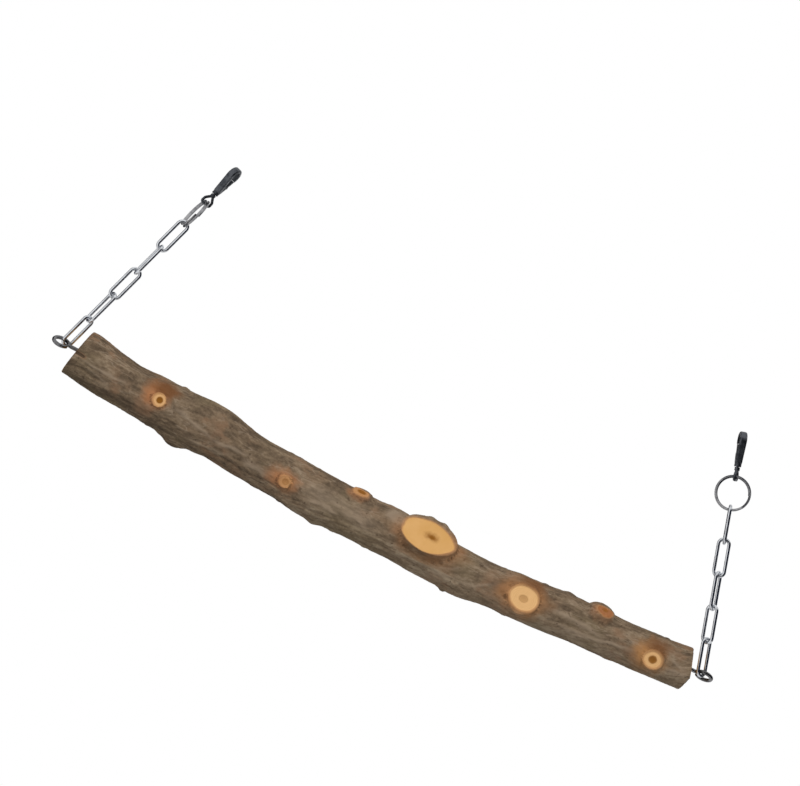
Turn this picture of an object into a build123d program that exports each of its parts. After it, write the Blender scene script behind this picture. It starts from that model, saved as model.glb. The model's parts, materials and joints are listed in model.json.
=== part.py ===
from build123d import *
from collections import namedtuple
from math import atan2, cos, degrees, radians, sin, sqrt, tan
import os

# A natural branch perch, hung level from two short chains with a snap hook on each.
# Lengths are in millimetres and angles in degrees. +X runs along the branch and +Z is up.
# The origin is the middle of the left hook's seat, where a cage bar lies.

# Branch: its length, usual thickness, sag of the middle and slant of the left saw cut.
# The right end is sawn from above and from below: the slants of both cuts, how far the
# upper one leads past the length at the screw, and the drop of the edge where they meet
branch_length = 483.0
branch_diameter = 33.0
branch_bow = 14.5
end_slant = 12.0
upper_cut_slant = 18.0
lower_cut_slant = 13.0
upper_cut_lead = 2.5
cut_edge_drop = 5.6
branch_steps = 30
# Place along the branch, sag and sway in parts of the bow, girth in parts of the diameter
branch_shape_shares = [
    (0.000, 0.04, 0.00, 1.080),
    (0.033, 0.21, 0.02, 1.120),
    (0.067, 0.36, 0.04, 1.030),
    (0.100, 0.43, 0.07, 1.020),
    (0.133, 0.43, 0.10, 1.050),
    (0.167, 0.48, 0.13, 1.090),
    (0.200, 0.47, 0.15, 1.130),
    (0.233, 0.48, 0.16, 1.175),
    (0.267, 0.60, 0.15, 1.060),
    (0.300, 0.78, 0.12, 1.005),
    (0.350, 0.81, 0.04, 1.030),
    (0.400, 0.92, -0.02, 1.080),
    (0.433, 0.88, -0.06, 1.050),
    (0.480, 0.87, -0.10, 1.020),
    (0.520, 0.85, -0.13, 1.045),
    (0.570, 0.89, -0.14, 1.030),
    (0.620, 0.98, -0.14, 1.005),
    (0.650, 1.00, -0.12, 1.000),
    (0.700, 0.85, -0.07, 0.915),
    (0.733, 0.74, -0.04, 0.970),
    (0.767, 0.67, -0.01, 0.955),
    (0.800, 0.56, 0.01, 0.980),
    (0.850, 0.46, 0.04, 0.940),
    (0.900, 0.39, 0.06, 0.915),
    (0.950, 0.24, 0.04, 0.920),
    (1.000, 0.09, 0.00, 0.945),
]

# Pruned side shoots: the place along the branch, the turn up from the front, and the half
# length, half height and reach of the face, then the half length and half height of the
# root, all in parts of the branch's radius
Knot = namedtuple("Knot", "place turn half_length half_height reach root_length root_height")
knot_shares = [
    Knot(0.138, 7, 0.31, 0.31, 1.10, 0.55, 0.50),
    Knot(0.183, -86, 0.20, 0.18, 1.39, 2.20, 0.90),
    Knot(0.354, -9, 0.27, 0.27, 1.06, 0.48, 0.44),
    Knot(0.463, 62, 0.45, 0.33, 1.16, 0.95, 0.60),
    Knot(0.577, 40, 1.30, 0.945, 1.16, 1.62, 0.85),
    Knot(0.630, -88, 0.10, 0.10, 1.09, 0.40, 0.35),
    Knot(0.741, 2, 0.68, 0.68, 1.00, 0.90, 0.76),
    Knot(0.851, 58, 0.52, 0.44, 1.165, 1.10, 0.60),
    Knot(0.949, -9, 0.46, 0.46, 0.98, 0.70, 0.62),
]
knot_root_share = 0.50

# Screw eyes: wire, loop, stand-off from the sawn end, driven depth and turn about the shank
screw_wire = 2.8
screw_loop_diameter = 14.0
screw_neck_bend = 2.5
screw_stand_off = 13.5
screw_depth = 25.0
screw_point = 4.0
screw_tip_diameter = 0.6
screw_tilt = 64.0
screw_loop_sweep = 308.0
pilot_clearance = 0.05

# Chains: long welded links, the play between hooked wires and the lean of each chain
link_wire = 2.5
link_pitch = 24.0
link_width = 10.0
chain_play = 0.3
chain_lean = 17.5

# Split rings: two turns of flat strip
ring_diameter = 26.0
ring_band = 2.2
ring_strip = 0.7
ring_step = 1.15
ring_edge_round = 0.25
ring_turns = 2
ring_arcs_per_turn = 4

# Swivel eyes: a bell of wire below a riveted stem
swivel_wire = 2.0
swivel_width = 9.2
swivel_bar_drop = 3.0
swivel_shoulder_rise = 0.6
swivel_shoulder_share = 0.94
swivel_peak_rise = 5.0
swivel_foot_bend = 1.3
swivel_shoulder_bend = 2.0
swivel_peak_bend = 1.2
swivel_boss_diameter = 3.8
swivel_boss_rise = 3.6
stem_diameter = 2.2
stem_head_diameter = 3.4
stem_head_height = 0.8
stem_end_play = 0.15

# Snap hooks: a cast claw with a sprung trigger
hook_rise = 25.0
seat_radius = 4.0
bow_band = 2.5
claw_thickness = 5.0
claw_edge_round = 1.1
collar_diameter = 5.0
collar_length = 3.9
collar_gap = 0.3
throat_radius = 2.2
throat_offset = 0.3
throat_drop = 7.0
nose_drop = 2.7
pivot_offset = 0.2
pivot_drop = 11.5
cheek_radius = 3.3
slot_width = 2.6
slot_back_reach = 2.9
trigger_thickness = 2.3
trigger_root_radius = 1.9
gate_thickness = 4.2
gate_inset = 0.35
gate_gap = 0.15
gate_foot_radius = 1.1
gate_foot_reach = 1.4
gate_foot_turn = 45.0
tab_radius = 0.9
tab_root_reach = 1.6
tab_root_turn = 30.0
tab_tip_reach = 3.4
tab_tip_turn = 18.0
pin_diameter = 1.6
pin_edge = 0.2
pin_press_gap = 0.02
running_gap = 0.05
leaf_thickness = 0.3
leaf_width = 2.0
leaf_height = 3.2
leaf_gap = 0.2

# Cuts run this far past the face they start from
overrun = 1.0

# Stations down a chain, measured from the seat of its hook
link_half = (link_pitch + link_wire) / 2
link_leg_offset = (link_width - link_wire) / 2
link_leg_half = link_half - link_leg_offset
ring_radius = (ring_diameter - ring_band) / 2
swivel_half = (swivel_width - swivel_wire) / 2
swivel_seat = hook_rise + swivel_bar_drop - swivel_wire / 2
ring_station = swivel_seat - chain_play - ring_band / 2 + ring_radius
ring_seat = ring_station + ring_radius - ring_band / 2
top_link_station = ring_seat - chain_play - link_wire / 2 + link_half

# Each chain's turns about its own line, from the top link to the bottom one, 0 being flat to the front
Side = namedtuple("Side", "name sign link_twists ring_twist swivel_twist claw_twist")
left = Side("left", 1, (10, -78, 16, -56, 40), -77, 17, 73)
right = Side("right", -1, (88, -6, 62, -34, 44), 0, 70, 96)
link_stations = [top_link_station + i * (link_pitch - chain_play) for i in range(len(left.link_twists))]
chain_seat = link_stations[-1] + link_half - link_wire / 2
screw_station = chain_seat - chain_play - screw_wire / 2

# Screw eye loop: where the chain pulls on it, and the screw's own line below that point
screw_loop_radius = (screw_loop_diameter - screw_wire) / 2
pull_turn = degrees(atan2(cos(radians(chain_lean)) * cos(radians(screw_tilt)), sin(radians(chain_lean))))
pull_forward = screw_loop_radius * cos(radians(pull_turn))
pull_aside = screw_loop_radius * sin(radians(pull_turn))
screw_offset = pull_aside * sin(radians(screw_tilt))
screw_height = -screw_station * cos(radians(chain_lean)) - pull_aside * cos(radians(screw_tilt))
loop_left = -screw_station * sin(radians(chain_lean)) - pull_forward
branch_left = loop_left + screw_stand_off
branch_right = branch_left + branch_length
branch_radius = branch_diameter / 2
seat_spacing = branch_left + branch_right


def chain_plane(side, station, twist):
    """Plane on a chain's line: x across the piece, y up the chain, z out of its flat side."""
    lean = side.sign * chain_lean
    up = Vector(0, 0, 1).rotate(Axis.Y, lean)
    across = Vector(1, 0, 0).rotate(Axis.Y, lean).rotate(Axis((0, 0, 0), up), twist)
    seat = Vector(0 if side is left else seat_spacing, 0, 0)
    return Plane(origin=seat - up * station, x_dir=across, z_dir=across.cross(up))


def along_branch(place):
    """Centre and radius of the branch at a place, level beyond the listed ones."""
    listed = min(max(place, 0), 1)
    for low, high in zip(branch_shape_shares, branch_shape_shares[1:]):
        if low[0] <= listed <= high[0]:
            part_way = (listed - low[0]) / (high[0] - low[0])
            eased = part_way ** 2 * (3 - 2 * part_way)
            sag, sway, girth = (a + (b - a) * eased for a, b in zip(low[1:], high[1:]))
            break
    x = branch_left + place * branch_length
    y = screw_offset * (2 * listed - 1) + sway * branch_bow
    return Vector(x, y, screw_height - sag * branch_bow), girth * branch_radius


def make_branch():
    """Bowed branch with its sawn ends, pruned shoots and the two pilot holes."""
    cut_run = branch_diameter * tan(radians(end_slant)) + overrun
    before = -cut_run / branch_length
    lengthwise = Vector(1, 0, 0)
    left_end = Vector(branch_left, -screw_offset, screw_height)
    right_end = Vector(branch_right, screw_offset, screw_height)
    edge_lead = upper_cut_lead + cut_edge_drop * tan(radians(upper_cut_slant))
    right_edge = right_end + Vector(edge_lead, 0, -cut_edge_drop)
    saw_cuts = (
        (left_end, lengthwise.rotate(Axis.Y, end_slant)),
        (right_edge, -lengthwise.rotate(Axis.Y, -upper_cut_slant)),
        (right_edge, -lengthwise.rotate(Axis.Y, lower_cut_slant)),
    )
    with BuildPart() as branch:
        # One section more than the steps need, past the right end
        for step in range(branch_steps + 2):
            centre, radius = along_branch(before + (1 - before) * step / branch_steps)
            with BuildSketch(Plane(origin=centre, x_dir=(0, 1, 0), z_dir=lengthwise)):
                Circle(radius)
        loft()
        for knot in knot_shares:
            centre, _ = along_branch(knot.place)
            outward = Vector(0, -cos(radians(knot.turn)), sin(radians(knot.turn)))
            face = (knot.reach, knot.half_length, knot.half_height)
            root = (knot_root_share, knot.root_length, knot.root_height)
            for reach, half_length, half_height in (face, root):
                origin = centre + outward * reach * branch_radius
                with BuildSketch(Plane(origin=origin, x_dir=lengthwise, z_dir=outward)):
                    Ellipse(half_length * branch_radius, half_height * branch_radius)
            loft()
        for place, inward in saw_cuts:
            split(bisect_by=Plane(origin=place, z_dir=inward), keep=Keep.TOP)
        for end, inward in ((left_end, lengthwise), (right_end, -lengthwise)):
            with BuildSketch(Plane(origin=end - inward * screw_stand_off, z_dir=inward)):
                Circle(screw_wire / 2 + pilot_clearance)
            extrude(amount=screw_stand_off + screw_depth + pilot_clearance, mode=Mode.SUBTRACT)
    return branch


def make_screw_eye(side):
    """Eye of bent wire on a plain pointed shank, its loop turned about the shank."""
    middle = seat_spacing / 2
    loop = Vector(middle - side.sign * (middle - loop_left), -side.sign * screw_offset, screw_height)
    inward = Vector(side.sign, 0, 0)
    aside = Vector(0, side.sign * sin(radians(screw_tilt)), cos(radians(screw_tilt)))
    plane = Plane(origin=loop, x_dir=inward, z_dir=inward.cross(aside))
    bend_x = sqrt((screw_loop_radius + screw_neck_bend) ** 2 - screw_neck_bend ** 2)
    bend_turn = degrees(atan2(screw_neck_bend, bend_x))
    shank_end = screw_stand_off + screw_depth - screw_point
    with BuildPart() as screw_eye:
        with BuildLine(plane) as wire:
            Line((shank_end, 0), (bend_x, 0))
            CenterArc((bend_x, screw_neck_bend), screw_neck_bend, -90, bend_turn - 90)
            CenterArc((0, 0), screw_loop_radius, bend_turn, screw_loop_sweep)
        with BuildSketch(Plane(origin=wire.line @ 0, z_dir=wire.line % 0)):
            Circle(screw_wire / 2)
        sweep()
        for reach, diameter in ((0, screw_wire), (screw_point, screw_tip_diameter)):
            tip = loop + inward * (shank_end + reach)
            with BuildSketch(Plane(origin=tip, z_dir=inward)):
                Circle(diameter / 2)
        loft()
    return screw_eye


def make_link(plane):
    """Closed long link of round wire."""
    leg = link_leg_offset
    with BuildPart() as link:
        with BuildLine(plane) as wire:
            Line((leg, -link_leg_half), (leg, link_leg_half))
            ThreePointArc((leg, link_leg_half), (0, link_half), (-leg, link_leg_half))
            Line((-leg, link_leg_half), (-leg, -link_leg_half))
            ThreePointArc((-leg, -link_leg_half), (0, -link_half), (leg, -link_leg_half))
        with BuildSketch(Plane(origin=wire.line @ 0, z_dir=wire.line % 0)):
            Circle(link_wire / 2)
        sweep()
    return link


def ring_point(turn):
    """Point on the middle of the ring's strip after some turns, the split being at its side."""
    angle = radians(turn * 360)
    return (ring_radius * cos(angle), ring_radius * sin(angle), ring_step * (turn - ring_turns / 2))


def make_ring(plane):
    """Split ring: one strip wound twice, each turn beside the last."""
    arc = 1 / ring_arcs_per_turn
    with BuildPart() as ring:
        with BuildLine(plane) as strip:
            for i in range(ring_turns * ring_arcs_per_turn):
                ThreePointArc(*(ring_point((i + half) * arc) for half in (0, 1 / 2, 1)))
            guide = Line((0, 0, -ring_diameter), (0, 0, ring_diameter), mode=Mode.PRIVATE)
        with BuildSketch(Plane(origin=strip.line @ 0, x_dir=plane.x_dir, z_dir=strip.line % 0)):
            RectangleRounded(ring_band, ring_strip, ring_edge_round)
        sweep(binormal=guide)
    return ring


def ring_self_gap():
    """Least gap between neighbouring turns of a split ring, measured on points."""
    steps = 24 * ring_turns
    points = [Vector(*ring_point(ring_turns * i / steps)) for i in range(steps + 1)]
    apart = steps // ring_turns // 2
    pairs = [(a, b) for i, a in enumerate(points) for b in points[i + apart:]]
    return min((a - b).length for a, b in pairs) - ring_strip


def make_swivel_eye(plane):
    """Bell-shaped eye on a riveted stem, about which the claw turns."""
    shoulder = swivel_half * swivel_shoulder_share
    collar_low = hook_rise - collar_drop - collar_length
    collar_high = hook_rise - collar_drop
    outline = [
        (0, swivel_boss_rise),
        (swivel_boss_diameter / 2, swivel_boss_rise),
        (swivel_boss_diameter / 2, collar_low - collar_gap),
        (stem_diameter / 2, collar_low - collar_gap),
        (stem_diameter / 2, collar_high + stem_end_play),
        (stem_head_diameter / 2, collar_high + stem_end_play),
        (stem_head_diameter / 2, collar_high + stem_end_play + stem_head_height),
        (0, collar_high + stem_end_play + stem_head_height),
    ]
    with BuildPart() as swivel_eye:
        with BuildLine(plane) as wire:
            FilletPolyline(
                (0, -swivel_bar_drop),
                (swivel_half, -swivel_bar_drop),
                (shoulder, swivel_shoulder_rise),
                (0, swivel_peak_rise),
                (-shoulder, swivel_shoulder_rise),
                (-swivel_half, -swivel_bar_drop),
                radius=[0, swivel_foot_bend, swivel_shoulder_bend, swivel_peak_bend,
                        swivel_shoulder_bend, swivel_foot_bend],
                close=True,
            )
        with BuildSketch(Plane(origin=wire.line @ 0, z_dir=wire.line % 0)):
            Circle(swivel_wire / 2)
        sweep()
        with BuildSketch(plane):
            with BuildLine():
                Polyline(*outline, close=True)
            make_face()
        revolve(axis=Axis(plane.origin, plane.y_dir))
    return swivel_eye


# Levels of the snap hook below its seat
bow_radius = seat_radius + bow_band
collar_drop = pivot_drop + trigger_root_radius + stem_head_height + 2 * stem_end_play + leaf_gap
slot_floor = stem_head_height + 2 * stem_end_play - collar_drop
pivot = (pivot_offset, -pivot_drop)


def around_pivot(reach, turn):
    """Point at a distance from the trigger's pivot, beyond the claw's cheeks."""
    radius = cheek_radius + reach
    return (pivot_offset + radius * cos(radians(turn)), radius * sin(radians(turn)) - pivot_drop)


def tear_drop(inset):
    """Claw outline, from the round bow down to the collar."""
    with BuildSketch() as outline:
        Circle(bow_radius - inset)
        with Locations((0, -collar_drop)):
            Circle(collar_diameter / 2 - inset)
        make_hull(outline.edges())
    return outline.sketch


def throat_shape():
    """Pear-shaped opening inside the claw, round at the seat."""
    with BuildSketch() as outline:
        Circle(seat_radius)
        with Locations((throat_offset, -throat_drop)):
            Circle(throat_radius)
        make_hull(outline.edges())
    return outline.sketch


def gate_gap_shape(inset):
    """Gap between the nose and the round cheeks, on the trigger's side."""
    width = bow_radius + overrun - throat_offset
    height = pivot_drop - nose_drop - inset
    with BuildSketch() as outline:
        with Locations((throat_offset, -pivot_drop)):
            Rectangle(width, height, align=(Align.MIN, Align.MIN))
        with Locations(pivot):
            Circle(cheek_radius + inset, mode=Mode.SUBTRACT)
    return outline.sketch


def make_claw(plane):
    """Cast hook with a collar for the swivel, cheeks for the trigger and a hooked nose."""
    through = claw_thickness / 2 + overrun
    bore = [
        (0, -collar_drop - collar_length - overrun),
        (stem_diameter / 2 + running_gap, -collar_drop - collar_length - overrun),
        (stem_diameter / 2 + running_gap, -collar_drop),
        (stem_head_diameter / 2 + stem_end_play, -collar_drop),
        (stem_head_diameter / 2 + stem_end_play, slot_floor),
        (0, slot_floor),
    ]
    lengthwise = Axis(plane.origin, plane.y_dir)
    with BuildPart() as claw:
        with BuildSketch(plane):
            add(tear_drop(0))
        extrude(amount=claw_thickness / 2, both=True)
        fillet(claw.faces().filter_by(plane).edges(), radius=claw_edge_round)
        with BuildSketch(plane):
            with Locations((0, -collar_drop)):
                Rectangle(collar_diameter / 2, collar_length, align=(Align.MIN, Align.MAX))
        revolve(axis=lengthwise)
        with BuildSketch(plane):
            add(throat_shape())
            add(gate_gap_shape(0))
            with Locations(pivot):
                Circle(pin_diameter / 2 + pin_press_gap)
        extrude(amount=through, both=True, mode=Mode.SUBTRACT)
        with BuildSketch(plane):
            with Locations((pivot_offset - slot_back_reach, slot_floor)):
                Rectangle(slot_back_reach + bow_radius, -throat_drop - slot_floor,
                          align=(Align.MIN, Align.MIN))
        extrude(amount=slot_width / 2, both=True, mode=Mode.SUBTRACT)
        with BuildSketch(plane):
            with BuildLine():
                Polyline(*bore, close=True)
            make_face()
        revolve(axis=lengthwise, mode=Mode.SUBTRACT)
    return claw


def make_trigger(plane):
    """Lever whose gate closes the claw, with a root plate in the slot and a thumb tab."""
    with BuildPart() as trigger:
        with BuildSketch(plane):
            add(tear_drop(gate_inset))
            add(throat_shape(), mode=Mode.SUBTRACT)
            add(gate_gap_shape(gate_gap), mode=Mode.INTERSECT)
        extrude(amount=gate_thickness / 2, both=True)
        with BuildSketch(plane) as root:
            with Locations(pivot):
                Circle(trigger_root_radius)
            with Locations(around_pivot(gate_foot_reach, gate_foot_turn)):
                Circle(gate_foot_radius)
            make_hull(root.edges())
        extrude(amount=trigger_thickness / 2, both=True)
        with BuildSketch(plane) as tab:
            with Locations(around_pivot(tab_root_reach, tab_root_turn),
                           around_pivot(tab_tip_reach, tab_tip_turn)):
                Circle(tab_radius)
            make_hull(tab.edges())
        extrude(amount=trigger_thickness / 2, both=True)
        with BuildSketch(plane):
            with Locations(pivot):
                Circle(pin_diameter / 2 + running_gap)
        extrude(amount=claw_thickness, both=True, mode=Mode.SUBTRACT)
    return trigger


def make_pin(plane):
    """Rivet that the trigger turns on."""
    with BuildPart() as pin:
        with BuildSketch(plane):
            with Locations(pivot):
                Circle(pin_diameter / 2)
        extrude(amount=claw_thickness / 2, both=True)
        chamfer(pin.faces().filter_by(plane).edges(), length=pin_edge)
    return pin


def make_leaf(plane):
    """Bowed leaf spring between the back of the slot and the trigger's root."""
    back = pivot_offset - slot_back_reach + leaf_thickness / 2
    crown = pivot_offset - trigger_root_radius - leaf_gap - leaf_thickness / 2
    with BuildPart() as leaf:
        with BuildSketch(plane):
            with BuildLine():
                ThreePointArc((back, -pivot_drop - leaf_height / 2), (crown, -pivot_drop),
                              (back, -pivot_drop + leaf_height / 2))
            trace(line_width=leaf_thickness)
        extrude(amount=leaf_width / 2, both=True)
    return leaf


def save(piece, name):
    """Label a finished piece and write it out."""
    piece.part.label = name
    export_step(piece.part, f"parts/{name}.step")


os.makedirs("parts", exist_ok=True)
save(make_branch(), "branch")
for side in (left, right):
    claw_plane = chain_plane(side, 0, side.claw_twist)
    save(make_claw(claw_plane), f"{side.name}_snap_claw")
    save(make_trigger(claw_plane), f"{side.name}_snap_trigger")
    save(make_pin(claw_plane), f"{side.name}_snap_pin")
    save(make_leaf(claw_plane), f"{side.name}_snap_spring")
    save(make_swivel_eye(chain_plane(side, hook_rise, side.swivel_twist)), f"{side.name}_swivel_eye")
    save(make_ring(chain_plane(side, ring_station, side.ring_twist)), f"{side.name}_split_ring")
    for number, (station, twist) in enumerate(zip(link_stations, side.link_twists), start=1):
        save(make_link(chain_plane(side, station, twist)), f"{side.name}_link_{number}")
    save(make_screw_eye(side), f"{side.name}_screw_eye")
print(f"Split ring, least gap between turns: {ring_self_gap():.2f} mm")
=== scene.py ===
"""Hanging bird perch: a branch in its bark on two steel chains with split rings and snap hooks."""

import json
import logging
import math
from dataclasses import dataclass
from enum import Enum

import bpy
import numpy as np
from mathutils import Matrix, Vector, noise


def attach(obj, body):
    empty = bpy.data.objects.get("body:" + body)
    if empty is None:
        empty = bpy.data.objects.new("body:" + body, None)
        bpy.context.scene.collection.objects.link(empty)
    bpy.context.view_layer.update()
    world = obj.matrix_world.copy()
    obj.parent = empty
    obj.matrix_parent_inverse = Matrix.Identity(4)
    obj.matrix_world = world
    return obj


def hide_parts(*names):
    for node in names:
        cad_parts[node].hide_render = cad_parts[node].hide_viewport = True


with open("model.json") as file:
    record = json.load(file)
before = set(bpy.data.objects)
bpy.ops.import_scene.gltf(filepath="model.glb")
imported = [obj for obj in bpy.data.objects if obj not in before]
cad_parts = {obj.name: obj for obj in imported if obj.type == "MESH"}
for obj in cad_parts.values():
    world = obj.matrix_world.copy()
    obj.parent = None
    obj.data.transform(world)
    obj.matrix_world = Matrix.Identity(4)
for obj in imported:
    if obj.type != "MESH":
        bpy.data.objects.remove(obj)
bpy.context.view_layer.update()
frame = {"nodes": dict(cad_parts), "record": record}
LOG = logging.getLogger("perch")
Colour = tuple[float, float, float]
Triple = tuple[float, float, float]
Pair = tuple[float, float]
WHITE = (1.0, 1.0, 1.0)
# Length too small to matter, in metres.
TINY = 1e-6
# Radius of a point with no sawn face near it, where 1 is a face's rim.
FAR_RADIUS = 9.0


class Slot(Enum):
    """Material slots of the part's record."""

    BARK = "bark_wood"
    ZINC = "zinc_steel"
    RING = "ring_steel"
    EYE = "eye_steel"
    GUNMETAL = "gunmetal"


class Side(Enum):
    """The perch's two ends."""

    LEFT = "left"
    RIGHT = "right"


def opaque(colour: Colour) -> tuple[float, float, float, float]:
    """Colour with full alpha, as colour sockets take it."""
    return (*colour, 1.0)


class Value:
    """One shader value: arithmetic on it adds Math nodes to its shader."""

    def __init__(self, shader: "Shader", socket: bpy.types.NodeSocket) -> None:
        """Wrap a node's output socket."""
        self.shader = shader
        self.socket = socket

    def maths(self, operation: str, first: "Value | float", second: "Value | float") -> "Value":
        """Add one Math node.

        Args:
            operation: The Math node's operation.
            first: Its first operand.
            second: Its second operand.

        Returns:
            The node's result.
        """
        return self.shader.node("ShaderNodeMath", {"operation": operation}, {0: first, 1: second})

    def __add__(self, other: "Value | float") -> "Value":
        """Sum of two values."""
        return self.maths("ADD", self, other)

    __radd__ = __add__

    def __sub__(self, other: "Value | float") -> "Value":
        """Difference of two values."""
        return self.maths("SUBTRACT", self, other)

    def __rsub__(self, other: float) -> "Value":
        """A number less this value."""
        return self.maths("SUBTRACT", other, self)

    def __mul__(self, other: "Value | float") -> "Value":
        """Product of two values."""
        return self.maths("MULTIPLY", self, other)

    __rmul__ = __mul__

    def least(self, other: "Value | float") -> "Value":
        """The smaller of two values."""
        return self.maths("MINIMUM", self, other)

    def most(self, other: "Value | float") -> "Value":
        """The larger of two values."""
        return self.maths("MAXIMUM", self, other)

    def wave(self) -> "Value":
        """Sine of the value, in radians."""
        return self.maths("SINE", self, 0.0)

    def spread(self, base: float, gain: float) -> "Value":
        """A base level plus the value times a gain."""
        return self * gain + base

    def rise(self, low: "Value | float", high: "Value | float") -> "Value":
        """Smooth step from 0 at one level to 1 at another.

        Args:
            low: Level where the step starts.
            high: Level where the step ends.

        Returns:
            The step, from 0 to 1.
        """
        settings = {"interpolation_type": "SMOOTHSTEP"}
        return self.shader.node("ShaderNodeMapRange", settings, {0: self, 1: low, 2: high})


class Shader:
    """A node tree that is written as calls and expressions."""

    def __init__(self, tree: bpy.types.NodeTree) -> None:
        """Start from an empty tree."""
        self.tree = tree
        tree.nodes.clear()

    def node(self, kind: str, settings: dict | None = None, inputs: dict | None = None,
             output: int | str = 0) -> Value | None:
        """Add one node.

        Args:
            kind: The node's type.
            settings: Its own settings; "stops" are a ramp's places and colours.
            inputs: Values or links of its sockets, by name or number.
            output: The socket to return.

        Returns:
            The chosen output, or None for a node without one.
        """
        made = self.tree.nodes.new(kind)
        for name, setting in (settings or {}).items():
            if name == "stops":
                elements = made.color_ramp.elements
                while len(elements) < len(setting):
                    elements.new(1.0)
                for element, (place, colour) in zip(elements, setting):
                    element.position = place
                    element.color = opaque(colour)
            else:
                setattr(made, name, setting)
        for key, value in (inputs or {}).items():
            if isinstance(value, Value):
                self.tree.links.new(value.socket, made.inputs[key])
            else:
                made.inputs[key].default_value = value
        return Value(self, made.outputs[output]) if made.outputs else None

    def attribute(self, name: str, output: str = "Fac") -> Value:
        """Attribute of the piece's own mesh."""
        return self.node("ShaderNodeAttribute", {"attribute_name": name}, output=output)

    def triple(self, name: str) -> list[Value]:
        """The three numbers of a vector attribute."""
        vector = self.attribute(name, "Vector")
        return [self.node("ShaderNodeSeparateXYZ", {}, {0: vector}, axis) for axis in "XYZ"]

    def place(self) -> Value:
        """Object coordinates."""
        return self.node("ShaderNodeTexCoord", output="Object")

    def ramp(self, value: Value, stops: tuple[tuple[float, Colour], ...]) -> Value:
        """Colour that follows a value through a list of stops."""
        return self.node("ShaderNodeValToRGB", {"stops": stops}, {"Fac": value}, "Color")

    def mix(self, share: Value, first: Value | Colour, second: Value | Colour) -> Value:
        """Mix two colours.

        Args:
            share: Share of the second colour.
            first: Colour at a share of 0.
            second: Colour at a share of 1.

        Returns:
            The mixed colour.
        """
        colours = [c if isinstance(c, Value) else opaque(c) for c in (first, second)]
        return self.node("ShaderNodeMix", {"data_type": "RGBA"},
                         {0: share, 6: colours[0], 7: colours[1]}, 2)

    def layered(self, colour: Value | Colour, *layers: tuple[Value, Value | Colour]) -> Value:
        """Lay colours over a first one.

        Args:
            colour: The colour below.
            layers: Share and colour of each layer, from the lowest up.

        Returns:
            The colour of them all.
        """
        for share, layer in layers:
            colour = self.mix(share, colour, layer)
        return colour

    def bump(self, height: Value, strength: float, distance: float) -> Value:
        """Normal that a height gives the surface."""
        return self.node("ShaderNodeBump", {}, {
            "Strength": strength, "Distance": distance, "Height": height})

    def finish(self, surface: Value) -> None:
        """End a material in its surface."""
        self.node("ShaderNodeOutputMaterial", {}, {"Surface": surface})


def new_material(name: str) -> tuple[bpy.types.Material, Shader]:
    """Empty node material and the shader that writes it."""
    material = bpy.data.materials.new(name)
    material.use_nodes = True
    return material, Shader(material.node_tree)


@dataclass(frozen=True)
class Cloud:
    """Fractal noise of a finish: clouds per metre, octaves, roughness and stretch along each axis."""

    scale: float
    detail: float = 3.0
    rough: float = 0.5
    stretch: Triple | None = None

    def over(self, places: Value) -> Value:
        """Read the noise.

        Args:
            places: Where it is read.

        Returns:
            The noise, from 0 to 1.
        """
        shader = places.shader
        if self.stretch:
            places = shader.node("ShaderNodeMapping", {}, {"Vector": places, "Scale": self.stretch})
        sockets = {"Vector": places, "Scale": self.scale, "Detail": self.detail, "Roughness": self.rough}
        return shader.node("ShaderNodeTexNoise", {"noise_dimensions": "3D"}, sockets)


@dataclass(frozen=True)
class PlatedMetal:
    """Plated steel or cast metal: clouded plating, duller in places, with a faint grain."""

    name: str
    bright: Colour
    dull: Colour
    polish: float
    wear: float
    clouds: Cloud = Cloud(170.0, rough=0.55)
    grain: Cloud = Cloud(1500.0, 2.0)
    grain_share: float = 0.15
    worn: Pair = (0.40, 0.64)
    bump_strength: float = 0.3
    bump_height: float = 0.00001

    def material(self) -> bpy.types.Material:
        """Write the finish as a material."""
        material, shader = new_material(self.name)
        place = shader.place()
        grain = self.grain.over(place)
        cloud = self.clouds.over(place) * (1.0 - self.grain_share) + grain * self.grain_share
        worn = cloud.rise(*self.worn)
        shader.finish(shader.node("ShaderNodeBsdfPrincipled", {}, {
            "Base Color": shader.mix(worn, self.bright, self.dull),
            "Metallic": 1.0,
            "Roughness": worn.spread(self.polish, self.wear - self.polish),
            "Normal": shader.bump(grain, self.bump_strength, self.bump_height),
        }))
        return material


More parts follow.
